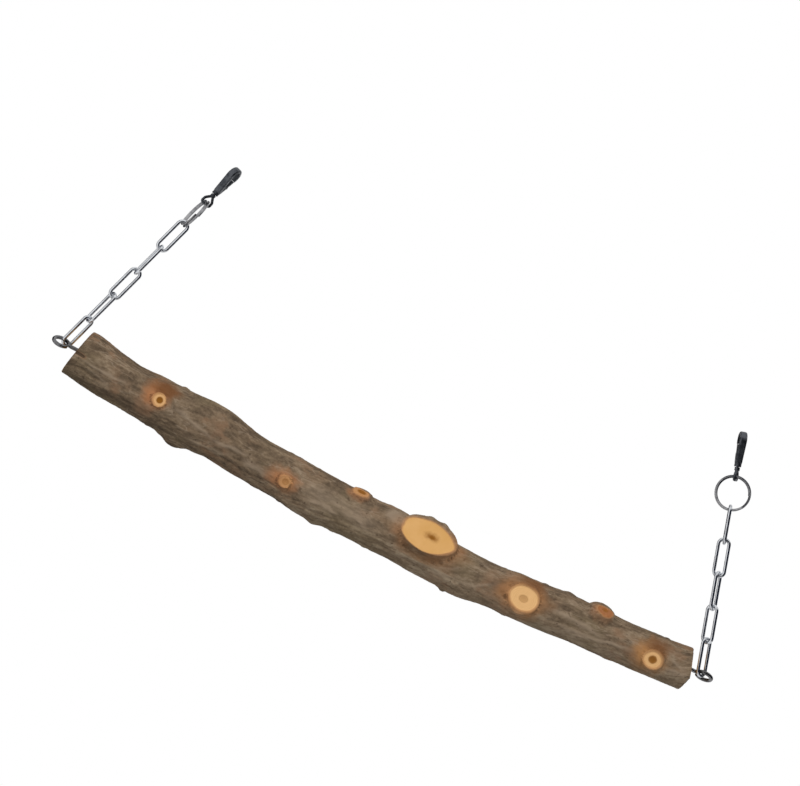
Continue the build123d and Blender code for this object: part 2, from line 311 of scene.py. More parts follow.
@dataclass(frozen=True)
class BarkAndWood:
    """Dry bark in long streaks, with sawn faces, their pith and the blush around them."""

    name: str
    bark_stops: tuple[tuple[float, Colour], ...]
    pale_streak: Colour
    moss: Colour
    russet: Colour
    blush: Colour
    blush_gold: Colour
    blush_dark: Colour
    wood: Colour
    wood_ring: Colour
    wood_tan: Colour
    wood_red: Colour
    pith: Colour
    inner_bark: Colour
    cambium: Colour
    pit: Colour
    # Noises
    band: Cloud = Cloud(26.0, stretch=(1.0, 5.0, 5.0))
    blotch: Cloud = Cloud(95.0, stretch=(1.0, 1.7, 1.7))
    streak: Cloud = Cloud(140.0, 4.0, 0.55, (1.0, 3.4, 3.4))
    fleck: Cloud = Cloud(430.0, 4.0, 0.6, (1.0, 1.3, 1.3))
    vein: Cloud = Cloud(45.0, stretch=(1.0, 4.5, 4.5))
    patch: Cloud = Cloud(30.0)
    pit_dots: Cloud = Cloud(240.0, 1.0, stretch=(1.0, 1.3, 1.3))
    mottle: Cloud = Cloud(170.0, 4.0, 0.6, (1.0, 1.6, 1.6))
    fine_mottle: Cloud = Cloud(620.0, 3.0, 0.6, (1.0, 1.6, 1.6))
    face_wander: Cloud = Cloud(210.0, rough=0.6)
    face_blotch: Cloud = Cloud(95.0, 2.0)
    face_rag: Cloud = Cloud(420.0, 2.0, 0.6)
    end_wander: Cloud = Cloud(90.0, rough=0.55)
    saw_marks: Cloud = Cloud(500.0, 2.0, stretch=(1.0, 1.0, 6.0))
    # Bark
    tone_weights: tuple[float, ...] = (0.50, 0.52, 0.40, 0.44)
    # Strength of the relief's tone: painted shade in hollows and painted light on ridges, partly the
    # bark's own colour.
    relief_light_and_shade: float = 0.060
    ridge_streak: Pair = (0.35, 1.1)
    ridge_most: float = 0.70
    ridge_bump: float = 0.2
    vein_width: float = 0.035
    vein_band: Pair = (0.38, 0.60)
    vein_share: float = 0.6
    pit_levels: Pair = (0.66, 0.76)
    pit_rim: Pair = (1.15, 1.5)
    pit_share: float = 0.65
    pit_bump: float = 0.25
    moss_patch: Pair = (0.54, 0.70)
    moss_share: float = 0.35
    russet_patch: Pair = (0.36, 0.52)
    russet_blotch: Pair = (0.40, 0.60)
    russet_share: float = 0.60
    # Blush, torn collars and cracks
    blush_mottle: Pair = (0.50, 0.6)
    blush_fine: float = 0.35
    blush_most: float = 0.92
    stain_most: float = 0.88
    collar_stray: float = 0.0016
    collar_width: float = 0.0024
    collar_blush: Pair = (0.15, 0.25)
    collar_mottle: float = 0.4
    crack_side: Pair = (0.02, 0.35)
    crack_side_share: float = 0.6
    crack_bed: Pair = (0.30, 0.75)
    crack_bed_share: float = 0.95
    # Sawn faces
    ring_pitch: float = 0.0012
    ring_wander: float = 0.0022
    ring_share: float = 0.42
    ring_stray: float = 0.6
    tan_blotch: Pair = (0.45, 0.9)
    red_wander: Pair = (0.62, 0.5)
    cambium_stray: float = 0.0012
    cambium_width: Pair = (0.0001, 0.0013)
    cambium_red: Pair = (0.60, -0.4)
    heart_stray: Pair = (1.5, -1.15)
    heart_fade: float = 0.4
    heart_rim: Pair = (0.60, 0.88)
    heart_rim_share: float = 0.45
    heart_most: float = 0.97
    hub_stray: float = 0.20
    hub_width: Pair = (0.16, 0.72)
    rag_width: float = 0.0008
    # Sawn ends
    end_girth: float = 0.0165
    end_ring_pitch: float = 0.0013
    end_ring_wander: float = 0.004
    end_ring_share: float = 0.6
    end_tan: Pair = (0.18, 0.55)
    end_tan_share: float = 0.8
    end_pith: Pair = (0.03, 0.08)
    end_crack: Pair = (0.25, 0.8)
    end_bark_wander: float = 0.08
    end_bark: Pair = (0.90, 0.95)
    end_depth: Pair = (0.00022, 0.0005)
    # Gloss and fine relief
    bark_rough: float = 0.92
    wood_polish: float = 0.28
    crest: Pair = (0.55, 0.8)
    crest_polish: float = 0.08
    specular: float = 0.12
    saw_mark_share: float = 0.2
    bump_strength: float = 0.7
    bump_height: float = 0.0005

    def bark(self, shader: Shader) -> tuple[Value, Value]:
        """Bark colour and height, from the grain that the mesh carries.

        Args:
            shader: The material's shader.

        Returns:
            The colour and the height of its fine relief.
        """
        grain = shader.attribute("grain", "Vector")
        clouds = [cloud.over(grain) for cloud in (self.band, self.blotch, self.streak, self.fleck)]
        band, blotch, streak, _ = clouds
        vein, patch, dots = (cloud.over(grain) for cloud in (self.vein, self.patch, self.pit_dots))
        pits = dots.rise(*self.pit_levels) * shader.attribute("face_radius").rise(*self.pit_rim)
        thread = 1.0 - (vein - 0.5).most(0.5 - vein).rise(0.0, self.vein_width)
        ridge = shader.attribute("pale_ridge") * streak.spread(*self.ridge_streak)
        ridge = ridge.most(thread * band.rise(*self.vein_band) * self.vein_share)
        tone = sum(((cloud - 0.5) * weight for cloud, weight in zip(clouds, self.tone_weights)), 0.5)
        # The relief's tone: partly the bark's own paler crests, partly painted light on the ridges and
        # painted shade in the hollows.
        tone += shader.attribute("relief") * self.relief_light_and_shade
        rusty = (1.0 - patch.rise(*self.russet_patch)) * blotch.rise(*self.russet_blotch)
        colour = shader.layered(
            shader.ramp(tone, self.bark_stops),
            (patch.rise(*self.moss_patch) * self.moss_share, self.moss),
            (rusty * self.russet_share, self.russet),
            (ridge.least(self.ridge_most), self.pale_streak),
            (pits * self.pit_share, self.pit))
        return colour, tone + ridge * self.ridge_bump - pits * self.pit_bump

    def blushed(self, shader: Shader, bark: Value) -> Value:
        """Bark with the blush, stain and torn collar of each sawn face, and with its cracks.

        Args:
            shader: The material's shader.
            bark: The bark's own colour.

        Returns:
            The colour of the bark and all that lies on it.
        """
        bright, dark, gold = shader.triple("halo")
        grain = shader.attribute("grain", "Vector")
        mottle, fine = self.mottle.over(grain), self.fine_mottle.over(grain)
        uneven = mottle.spread(*self.blush_mottle) + fine * self.blush_fine
        width = shader.triple("edge")[0]
        outside = (shader.attribute("face_radius") - 1.0) * width + (mottle - 0.5) * self.collar_stray
        collar = 1.0 - outside.rise(0.0, self.collar_width)
        torn = bright.spread(*self.collar_blush) + mottle * self.collar_mottle
        crack = shader.attribute("check_crack")
        return shader.layered(
            bark,
            ((bright * uneven).least(self.blush_most), shader.mix(gold, self.blush, self.blush_gold)),
            ((dark * uneven).least(self.stain_most), self.blush_dark),
            (collar * torn, self.cambium),
            (crack.rise(*self.crack_side) * self.crack_side_share, self.russet),
            (crack.rise(*self.crack_bed) * self.crack_bed_share, self.pit))

    @staticmethod
    def rings(reach: Value, pitch: float) -> Value:
        """Growth rings at a pitch, from 0 to 1."""
        return (reach * (2.0 * math.pi / pitch)).wave() * 0.5 + 0.5

    def sawn_face(self, shader: Shader) -> tuple[Value, Value]:
        """Colour of the pruned shoots' sawn faces, and where they show.

        Args:
            shader: The material's shader.

        Returns:
            The colour and the mask of the faces.
        """
        radius = shader.attribute("face_radius")
        heart_radius = shader.attribute("heart_radius")
        core, depth, hub_depth = shader.triple("core")
        red, tan, outline = shader.triple("tint")
        width, soft, core_soft = shader.triple("edge")
        grain = shader.attribute("grain", "Vector")
        wander, blotch, rag = (
            cloud.over(grain) for cloud in (self.face_wander, self.face_blotch, self.face_rag))
        stray = wander - 0.5
        rings = self.rings(heart_radius * width + wander * self.ring_wander, self.ring_pitch)
        inside = (1.0 - radius) * width + stray * self.cambium_stray
        away = heart_radius + stray * outline.spread(*self.heart_stray) * core
        heart = 1.0 - away.rise(core * (1.0 - core_soft), core * core_soft.spread(1.0, self.heart_fade))
        rim = away.rise(*(core * share for share in self.heart_rim)) * heart
        dark = heart * depth + rim * depth * outline * self.heart_rim_share
        hub = heart_radius + stray * self.hub_stray
        hub = 1.0 - hub.rise(*(core * share for share in self.hub_width))
        colour = shader.layered(
            self.wood,
            (rings * self.ring_share + stray * self.ring_stray, self.wood_ring),
            (tan * blotch.spread(*self.tan_blotch), self.wood_tan),
            (red * wander.spread(*self.red_wander), self.wood_red),
            ((1.0 - inside.rise(*self.cambium_width)) * red.spread(*self.cambium_red), self.cambium),
            (dark.least(self.heart_most), self.pith),
            (hub * hub_depth, self.pith))
        ragged = (radius - 1.0) * width + (rag - 0.5) * self.rag_width
        return colour, 1.0 - ragged.rise(0.0 - soft, soft)

    def sawn_end(self, shader: Shader) -> tuple[Value, Value]:
        """Colour of the branch's sawn ends, and where they show.

        Args:
            shader: The material's shader.

        Returns:
            The colour and the mask of the ends.
        """
        radius = shader.attribute("end_radius")
        wander = self.end_wander.over(shader.place())
        rings = self.rings(radius * self.end_girth + wander * self.end_ring_wander, self.end_ring_pitch)
        colour = shader.layered(
            self.wood,
            (rings * self.end_ring_share, self.wood_ring),
            ((1.0 - radius.rise(*self.end_tan)) * self.end_tan_share, self.wood_tan),
            (1.0 - radius.rise(*self.end_pith), self.pith),
            (shader.attribute("check_crack").rise(*self.end_crack), self.pith),
            ((radius + wander * self.end_bark_wander).rise(*self.end_bark), self.inner_bark))
        return colour, 1.0 - shader.attribute("saw_depth").rise(*self.end_depth)

    def material(self) -> bpy.types.Material:
        """Write the finish as a material."""
        material, shader = new_material(self.name)
        bark, height = self.bark(shader)
        face, face_mask = self.sawn_face(shader)
        end, end_mask = self.sawn_end(shader)
        wood = face_mask.most(end_mask)
        rough = self.bark_rough - wood * self.wood_polish - height.rise(*self.crest) * self.crest_polish
        marks = self.saw_marks.over(shader.place()) * wood * self.saw_mark_share
        shader.finish(shader.node("ShaderNodeBsdfPrincipled", {}, {
            "Base Color": shader.layered(self.blushed(shader, bark), (face_mask, face), (end_mask, end)),
            "Roughness": rough,
            "Specular IOR Level": self.specular,
            "Normal": shader.bump(height * (1.0 - wood) + marks, self.bump_strength, self.bump_height),
        }))
        return material


ZINC = PlatedMetal("zinc_plate", (0.66, 0.68, 0.71), (0.50, 0.51, 0.53), 0.14, 0.26)
# Split-ring nickel, darker than bright nickel: a painted dark reflection of dark surroundings.
NICKEL_PAINTED_DARK = PlatedMetal("nickel_ring_painted_dark", (0.36, 0.36, 0.37), (0.22, 0.22, 0.23), 0.16, 0.30)
# Screw-eye zinc, far darker than the chain's zinc: a painted dark reflection of dark surroundings.
EYE_ZINC_PAINTED_DARK = PlatedMetal("screw_zinc_painted_dark", (0.16, 0.16, 0.165), (0.080, 0.076, 0.074), 0.18, 0.34)
# Snap-hook plating, near-black: a painted dark reflection of dark surroundings.
GUNMETAL = PlatedMetal("gunmetal_plate_painted_dark", (0.104, 0.110, 0.122), (0.050, 0.054, 0.062), 0.42, 0.58)
BARK = BarkAndWood(
    "bark_and_wood",
    bark_stops=(
        (0.28, (0.080, 0.056, 0.036)),
        (0.42, (0.124, 0.087, 0.056)),
        (0.52, (0.170, 0.121, 0.077)),
        (0.62, (0.216, 0.157, 0.102)),
        (0.76, (0.305, 0.234, 0.160)),
    ),
    pale_streak=(0.295, 0.224, 0.158),
    moss=(0.158, 0.121, 0.068),
    russet=(0.215, 0.122, 0.070),
    blush=(0.370, 0.160, 0.068),
    blush_gold=(0.400, 0.195, 0.072),
    blush_dark=(0.150, 0.062, 0.023),
    wood=(0.785, 0.475, 0.215),
    wood_ring=(0.600, 0.335, 0.125),
    wood_tan=(0.600, 0.330, 0.110),
    wood_red=(0.310, 0.122, 0.046),
    pith=(0.220, 0.080, 0.007),
    inner_bark=(0.105, 0.052, 0.028),
    cambium=(0.480, 0.245, 0.105),
    pit=(0.075, 0.050, 0.032),
)
FINISHES = {
    Slot.ZINC: ZINC,
    Slot.RING: NICKEL_PAINTED_DARK,
    Slot.EYE: EYE_ZINC_PAINTED_DARK,
    Slot.GUNMETAL: GUNMETAL,
    Slot.BARK: BARK,
}


def select_only(piece: bpy.types.Object) -> None:
    """Make a piece the only one selected, and the active one."""
    bpy.ops.object.select_all(action="DESELECT")
    piece.select_set(True)
    bpy.context.view_layer.objects.active = piece


def merged_copy(node: str, name: str) -> bpy.types.Object:
    """Copy a CAD node's mesh into a new piece and merge its loose triangles.

    Args:
        node: The CAD node.
        name: The new piece's name.

    Returns:
        The piece, active and in object mode.
    """
    piece = bpy.data.objects.new(name, frame["nodes"][node].data.copy())
    bpy.context.scene.collection.objects.link(piece)
    select_only(piece)
    bpy.ops.object.mode_set(mode="EDIT")
    bpy.ops.mesh.select_all(action="SELECT")
    bpy.ops.mesh.remove_doubles(threshold=TINY)
    bpy.ops.object.mode_set(mode="OBJECT")
    return piece


def points_of(piece: bpy.types.Object) -> np.ndarray:
    """Vertex places of a mesh, one row each."""
    flat = np.empty(len(piece.data.vertices) * 3)
    piece.data.vertices.foreach_get("co", flat)
    return flat.reshape(-1, 3)


def pick_points(piece: bpy.types.Object, chosen: np.ndarray) -> None:
    """Open a piece in edit mode with only the chosen points selected."""
    bpy.ops.object.mode_set(mode="EDIT")
    bpy.ops.mesh.select_all(action="DESELECT")
    bpy.ops.object.mode_set(mode="OBJECT")
    piece.data.vertices.foreach_set("select", chosen)
    bpy.ops.object.mode_set(mode="EDIT")


def distance_to(points: np.ndarray, place: Triple) -> np.ndarray:
    """Distance of each point from a place."""
    return np.linalg.norm(points - np.array(place), axis=1)


def step(values: np.ndarray, low: float, high: float) -> np.ndarray:
    """Smooth step of an array, from 0 at one level to 1 at another, which may be the lower one."""
    share = np.clip((values - low) / (high - low), 0.0, 1.0)
    return share * share * (3.0 - 2.0 * share)


def sampled_noise(points: np.ndarray, scale: Triple, octaves: int) -> np.ndarray:
    """Fractal noise at points.

    Args:
        points: Places, one row each.
        scale: Size of the noise along each axis, in the points' own units.
        octaves: Layers of ever finer noise.

    Returns:
        The noise, about -1 to 1.
    """
    return np.array([noise.fractal(p, 1.0, 2.0, octaves) for p in points / np.array(scale)])


@dataclass(frozen=True)
class Knot:
    """A pruned side shoot: its sawn face, its dark heart and the blush around it."""

    centre: Triple
    turn: float
    half_length: float
    half_height: float
    sawn: bool = True
    core: float = 0.3
    core_depth: float = 0.5
    hub_depth: float = 0.6
    red: float = 0.0
    tan: float = 0.0
    heart: Pair = (0.0, 0.0)
    halo_shift: Pair = (0.0, 0.0)
    halo_size: Pair = (0.01, 0.01)
    halo_fade: Pair = (0.20, 1.0)
    halo_stray: float = 0.22
    blush: float = 0.6
    gold: float = 0.0
    stain_shift: Pair = (0.0, 0.0)
    stain_size: Pair = (0.01, 0.01)
    stain: float = 0.0
    soft: float = 0.0005
    core_soft: float = 0.28
    outline: float = 1.0
    lobes: tuple[float, ...] = (1.0,)
    ragged_share: float = 0.09
    stray_size: float = 1.1
    stray_reach: float = 4.0
    rim_reach: float = 2.0
    cap: float = 2.0
    cap_fade: float = 0.5
    cap_share: float = 0.7
    wall_start: float = 0.0005
    wall_share: float = 1.5
    foot_start: float = 0.0012
    foot_width: float = 0.0060
    behind: float = 0.012

    def outward(self) -> np.ndarray:
        """Direction out of the sawn face."""
        turn = math.radians(self.turn)
        return np.array((0.0, -math.cos(turn), math.sin(turn)))

    def local(self, points: np.ndarray) -> tuple[np.ndarray, np.ndarray, np.ndarray]:
        """Read points in the sawn face's own frame.

        Args:
            points: Places, one row each.

        Returns:
            The distance along the branch, up round it, and out of the face.
        """
        out = self.outward()
        apart = points - np.array(self.centre)
        return apart[:, 0], apart @ np.array((0.0, out[2], -out[1])), apart @ out

    def near(self, out: np.ndarray) -> np.ndarray:
        """Mark the points on the face's side of the branch, by their distance out of the face."""
        return out > -self.behind

    def polar(self, points: np.ndarray) -> tuple[np.ndarray, np.ndarray]:
        """Radius of points as a share of the face's rim, larger behind the face.

        Args:
            points: Places, one row each.

        Returns:
            The share measured from the face's middle, and from its heart.
        """
        along, up, out = self.local(points)
        across, rise = along / self.half_length, up / self.half_height
        turns = np.linspace(0.0, 2.0 * math.pi, len(self.lobes), endpoint=False)
        lobe = np.interp(np.arctan2(rise, across), turns, self.lobes, period=2.0 * math.pi)
        rim = np.hypot(across, rise) * (1.0 + self.ragged_share * self.unevenness(points)) / lobe
        cap = step(rise, self.cap, self.cap + self.cap_fade)
        rim += self.cap_share * cap * (rim < self.rim_reach)
        wall = np.maximum(-out - self.wall_start, 0.0) / self.half_length
        rim += self.wall_share * wall * (rim < self.rim_reach)
        heart = np.hypot(across - self.heart[0], rise - self.heart[1])
        near = self.near(out)
        return np.where(near, rim, FAR_RADIUS), np.where(near, heart, FAR_RADIUS)

    def foot(self, points: np.ndarray) -> np.ndarray:
        """Mark the points of the wall behind the sawn face and of the bark at its foot."""
        along, up, out = self.local(points)
        share = np.hypot(along / (self.half_length + self.foot_width),
                         up / (self.half_height + self.foot_width))
        return (share < 1.0) & (out < -self.foot_start) & self.near(out)

    def unevenness(self, points: np.ndarray) -> np.ndarray:
        """Noise about -1 to 1 around the face, by which its edges stray from an even oval."""
        close = distance_to(points, self.centre) < self.stray_reach * self.half_length
        strays = np.zeros(len(points))
        strays[close] = sampled_noise(points[close], (self.stray_size * self.half_height,) * 3, 2)
        return strays

    def halo(self, points: np.ndarray) -> np.ndarray:
        """Colour that the bark takes around the face.

        Args:
            points: Places, one row each.

        Returns:
            The strength of the blush and of the dark stain, one row each point.
        """
        along, up, out = self.local(points)
        stray = 1.0 + self.halo_stray * self.unevenness(points)
        found = []
        for shift, size, strength in ((self.halo_shift, self.halo_size, self.blush),
                                      (self.stain_shift, self.stain_size, self.stain)):
            far = np.hypot((along - shift[0]) / size[0], (up - shift[1]) / size[1]) * stray
            found.append(strength * (1.0 - step(far, *self.halo_fade)) * self.near(out))
        return np.stack(found, axis=1)


@dataclass(frozen=True)
class PaleRidge:
    """A weathered ridge on the front of the bark, along a line of places (x, z)."""

    line: tuple[Pair, ...]
    half_width: float
    share: float
    fade: float = 0.3

    def strength(self, points: np.ndarray) -> np.ndarray:
        """How much of the ridge each point has, fading at its sides and ends.

        Args:
            points: Places, one row each, the bark's own unevenness added.

        Returns:
            The ridge, from 0 to its share.
        """
        along, rise = np.array(self.line).T
        off = (points[:, 2] - np.interp(points[:, 0], along, rise)) / self.half_width
        inner = self.fade * (along[-1] - along[0])
        outer = self.fade * inner
        run = step(points[:, 0], along[0] - outer, along[0] + inner)
        run *= 1.0 - step(points[:, 0], along[-1] - inner, along[-1] + outer)
        return self.share * np.exp(-off ** 2) * run


@dataclass(frozen=True)
class BarkLayer:
    """One noise of the bark's relief: its size, its height and how much it lightens the bark where it
    rises, partly its own paler crests and partly painted light on them and painted shade in the hollows.
    """

    size: Triple
    height: float
    tone: float = 0.0
    octaves: int = 2
    shift: float = 0.0

    def over(self, grain: np.ndarray) -> np.ndarray:
        """Read the noise, about -1 to 1, at bark coordinates."""
        return sampled_noise(grain + self.shift, self.size, self.octaves)


@dataclass(frozen=True)
class BarkShade:
    """Lighter or darker bark, above the front (1) or below it (-1), that sets in over a stretch."""

    side: float
    turn: Pair
    along: Pair
    tone: float

    def over(self, turn: np.ndarray, along: np.ndarray) -> np.ndarray:
        """Tone that the bark gains, by its turn from the front and its place along the branch."""
        return self.tone * step(self.side * turn, *self.turn) * step(along, *self.along)


@dataclass
class BarkBranch:
    """The branch: a fine skin over the CAD solid, with bark ridges, sawn faces and sawn ends."""

    knots: tuple[Knot, ...]
    ridges: tuple[PaleRidge, ...]
    node: str = "branch"
    body: str = "branch"
    # Saw cuts and skin
    left_end: Triple = (-0.03942, -0.00409, -0.15945)
    right_end: Triple = (0.44358, 0.00409, -0.15945)
    right_edge: Triple = (0.44790, 0.00409, -0.16505)
    left_slant: float = 12.0
    upper_slant: float = 18.0
    lower_slant: float = -13.0
    screw_radius: float = 0.0016
    girth: float = 0.0165
    line_bins: int = 48
    line_degree: int = 9
    skin_voxel: float = 0.00087
    smoothing: float = 0.5
    skin_passes: int = 2
    foot_passes: int = 10
    rounded: tuple[tuple[Triple, float, int], ...] = (
        ((0.0490, -0.0022, -0.1892), 0.0120, 24),
        ((0.1842, -0.0109, -0.1556), 0.0095, 6),
        ((0.3716, -0.0067, -0.1498), 0.0110, 12),
    )
    # Bark
    spiral: float = -3.7
    sway: float = 0.10
    sway_size: Triple = (0.0350, 0.0250, 0.0250)
    part_reach: float = 1.9
    part_share: float = 0.55
    fold: BarkLayer = BarkLayer((0.0480, 0.0062, 0.0062), 0.00060, 0.9, shift=0.3)
    ridge: BarkLayer = BarkLayer((0.0170, 0.0034, 0.0034), 0.00034, 0.5)
    wrinkle: BarkLayer = BarkLayer((0.0050, 0.0019, 0.0019), 0.00022, 0.4)
    lump: BarkLayer = BarkLayer((0.0240, 0.0140, 0.0140), 0.00055)
    wart: BarkLayer = BarkLayer((0.0085, 0.0060, 0.0060), 0.0026, octaves=1, shift=0.5)
    ridge_top: float = 0.6
    ridge_fall: float = 2.2
    wart_level: float = 0.42
    pale_wander: float = 0.0016
    pale_height: float = 0.00045
    shades: tuple[BarkShade, ...] = (
        BarkShade(-1.0, (0.55, 1.05), (0.110, 0.030), -1.1),
        BarkShade(-1.0, (0.10, 0.50), (0.120, 0.165), 2.4),
        BarkShade(1.0, (0.10, 0.50), (0.035, -0.010), -1.4),
    )
    lumps: tuple[tuple[Triple, float, float], ...] = (
        ((0.1618, -0.0010, -0.1900), 0.0050, 0.0020),
        ((0.2355, -0.0055, -0.1480), 0.0034, 0.0010),
        ((0.2465, -0.0060, -0.1500), 0.0030, 0.0012),
    )
    middle_power: int = 4
    # Sawn faces
    calm_rim: Pair = (1.15, 1.7)
    calm_share: float = 0.9
    bare_rim: Pair = (1.0, 1.3)
    bark_edge: Pair = (0.0005, 0.3)
    lip_inner: Pair = (0.92, 1.04)
    lip_outer: Pair = (1.10, 1.32)
    lip_height: float = 0.00045
    heart_start: float = 0.25
    heart_depth: float = 0.00040
    # Cracks and the split at the left end
    crack_turns: tuple[float, ...] = (0.4, 2.2, 4.1)
    crack_start: Pair = (0.0022, 0.0040)
    crack_end: Pair = (0.0100, 0.0150)
    crack_width: float = 0.0006
    crack_skin: float = 0.0006
    crack_depth: float = 0.0009
    split_start: float = -0.1603
    split_slope: float = -0.105
    split_length: Pair = (0.0050, 0.0100)
    split_width: Pair = (0.0004, 0.0020)
    split_skin: float = 0.0004
    split_depth: float = 0.0013

    def skin(self) -> bpy.types.Object:
        """Copy the solid, close the screws' pilot holes and give it an even skin of small faces."""
        piece = merged_copy(self.node, "bark_branch")
        points = points_of(piece)
        near = np.zeros(len(points), bool)
        for end in (self.left_end, self.right_end):
            near |= np.hypot(points[:, 1] - end[1], points[:, 2] - end[2]) < self.screw_radius
        pick_points(piece, near)
        bpy.ops.mesh.delete(type="VERT")
        bpy.ops.mesh.select_all(action="SELECT")
        bpy.ops.mesh.fill_holes(sides=0)
        bpy.ops.object.mode_set(mode="OBJECT")
        piece.data.remesh_voxel_size = self.skin_voxel
        bpy.ops.object.voxel_remesh()
        self.soften(piece, np.ones(len(piece.data.vertices), bool), self.skin_passes)
        for place, reach, passes in self.rounded:
            self.soften(piece, distance_to(points_of(piece), place) < reach, passes)
        for knot in self.knots:
            self.soften(piece, knot.foot(points_of(piece)), self.foot_passes)
        bpy.ops.object.shade_smooth()
        return piece

    def soften(self, piece: bpy.types.Object, chosen: np.ndarray, passes: int) -> None:
        """Even out the chosen points of the skin.

        Args:
            piece: The skin.
            chosen: Marks the points to move.
            passes: How often they move towards their neighbours.
        """
        pick_points(piece, chosen)
        bpy.ops.mesh.vertices_smooth(factor=self.smoothing, repeat=passes)
        bpy.ops.object.mode_set(mode="OBJECT")

    def centre_line(self, points: np.ndarray) -> np.ndarray:
        """Centre of the branch beside each point, from a smooth curve through the skin's own middle.

        Args:
            points: The skin's points.

        Returns:
            The y and z of the branch's middle at each point.
        """
        edges = np.linspace(points[:, 0].min(), points[:, 0].max(), self.line_bins + 1)
        middles = (edges[:-1] + edges[1:]) / 2
        bins = np.clip(np.digitize(points[:, 0], edges) - 1, 0, len(middles) - 1)
        found = []
        for axis in (1, 2):
            mean = np.array([np.median(points[bins == i, axis]) for i in range(len(middles))])
            found.append(np.polyval(np.polyfit(middles, mean, self.line_degree), points[:, 0]))
        return np.stack(found, axis=1)

    def saw_depth(self, points: np.ndarray) -> np.ndarray:
        """Distance of each point behind the nearest saw cut across the branch."""
        cuts = ((self.left_end, -1.0, self.left_slant), (self.right_edge, 1.0, self.upper_slant),
                (self.right_edge, 1.0, self.lower_slant))
        depths = []
        for place, sign, slant in cuts:
            out = np.array((sign * math.cos(math.radians(slant)), 0.0, math.sin(math.radians(slant))))
            depths.append((np.array(place) - points) @ out)
        return np.maximum(np.min(depths, axis=0), 0.0)

    def end_cracks(self, reach: np.ndarray, turn: np.ndarray, depth: np.ndarray) -> np.ndarray:
        """Drying cracks that run out from the pith on the sawn ends.

        Args:
            reach: Each point's distance from the branch's middle.
            turn: Each point's turn about the middle, from the front.
            depth: Each point's distance behind its sawn end.

        Returns:
            How deep in a crack each point is, from 0 to 1.
        """
        taper = step(reach, *self.crack_start) * (1.0 - step(reach, *self.crack_end))
        crack = np.zeros(len(reach))
        for line in self.crack_turns:
            off = np.abs((turn - line + math.pi) % (2 * math.pi) - math.pi) * reach
            crack = np.maximum(crack, (1.0 - step(off, 0.0, self.crack_width)) * taper)
        return crack * (depth < self.crack_skin)

    def bark_split(self, points: np.ndarray, middle: np.ndarray) -> np.ndarray:
        """Split in the bark at the left end, in line with the screw.

        Args:
            points: The skin's points.
            middle: The y and z of the branch's middle at each point.

        Returns:
            How deep in the split each point is, from 0 to 1.
        """
        along = points[:, 0] - self.left_end[0]
        off = np.abs(points[:, 2] - self.split_start - self.split_slope * along)
        split = (1.0 - step(off, *self.split_width)) * (1.0 - step(along, *self.split_length))
        return split * (points[:, 1] < middle[:, 0])

    def grain(self, points: np.ndarray, reach: np.ndarray, turn: np.ndarray) -> np.ndarray:
        """Bark coordinates that drift round the branch, part around its knots and climb their walls.

        Args:
            points: The skin's points.
            reach: Each point's distance from the branch's middle.
            turn: Each point's turn about the middle, from the front.

        Returns:
            Places on an even round, which the noises of relief and colour are read from.
        """
        swirl = turn + self.spiral * points[:, 0] + self.sway * sampled_noise(points, self.sway_size, 1)
        climb = np.zeros(len(points))
        for knot in self.knots:
            along, up, out = knot.local(points)
            share = np.hypot(along / knot.half_length, up / knot.half_height)
            close = np.exp(-(share / self.part_reach) ** 2) * knot.near(out)
            swirl -= self.part_share * up / self.girth * close
            climb = np.maximum(climb, close)
        radius = self.girth + climb * (reach - self.girth)
        return np.stack([points[:, 0], radius * np.cos(swirl), radius * np.sin(swirl)], axis=1)

    def relief(self, grain: np.ndarray) -> tuple[np.ndarray, np.ndarray]:
        """Folds, ridges, wrinkles, lumps and warts of the bark.

        Args:
            grain: Bark coordinates.

        Returns:
            The height, and a share from about -1 to 1 that darkens hollows and lightens ridges, partly the
            bark's own darker furrows and paler crests and partly painted shade and painted light.
        """
        layers = (self.fold, self.ridge, self.wrinkle, self.lump, self.wart)
        fold, ridge, wrinkle, lump, wart = (layer.over(grain) for layer in layers)
        crest = self.ridge_top - self.ridge_fall * np.abs(ridge)
        shapes = (fold, crest, wrinkle, lump, np.maximum(wart - self.wart_level, 0.0))
        height = sum(layer.height * shape for layer, shape in zip(layers, shapes))
        return height, sum(layer.tone * shape for layer, shape in zip(layers, shapes))

    def pale_ridges(self, points: np.ndarray, middle: np.ndarray) -> np.ndarray:
        """Weathered ridges on the front of the bark.

        Args:
            points: The skin's points.
            middle: The y and z of the branch's middle at each point.

        Returns:
            How much of a ridge each point has, from 0 to about 1.
        """
        front = points[:, 1] < middle[:, 0]
        uneven = points[front].copy()
        uneven[:, 2] += self.pale_wander * sampled_noise(uneven, self.wart.size, 2)
        found = np.zeros(len(points))
        found[front] = np.max([ridge.strength(uneven) for ridge in self.ridges], axis=0)
        return found

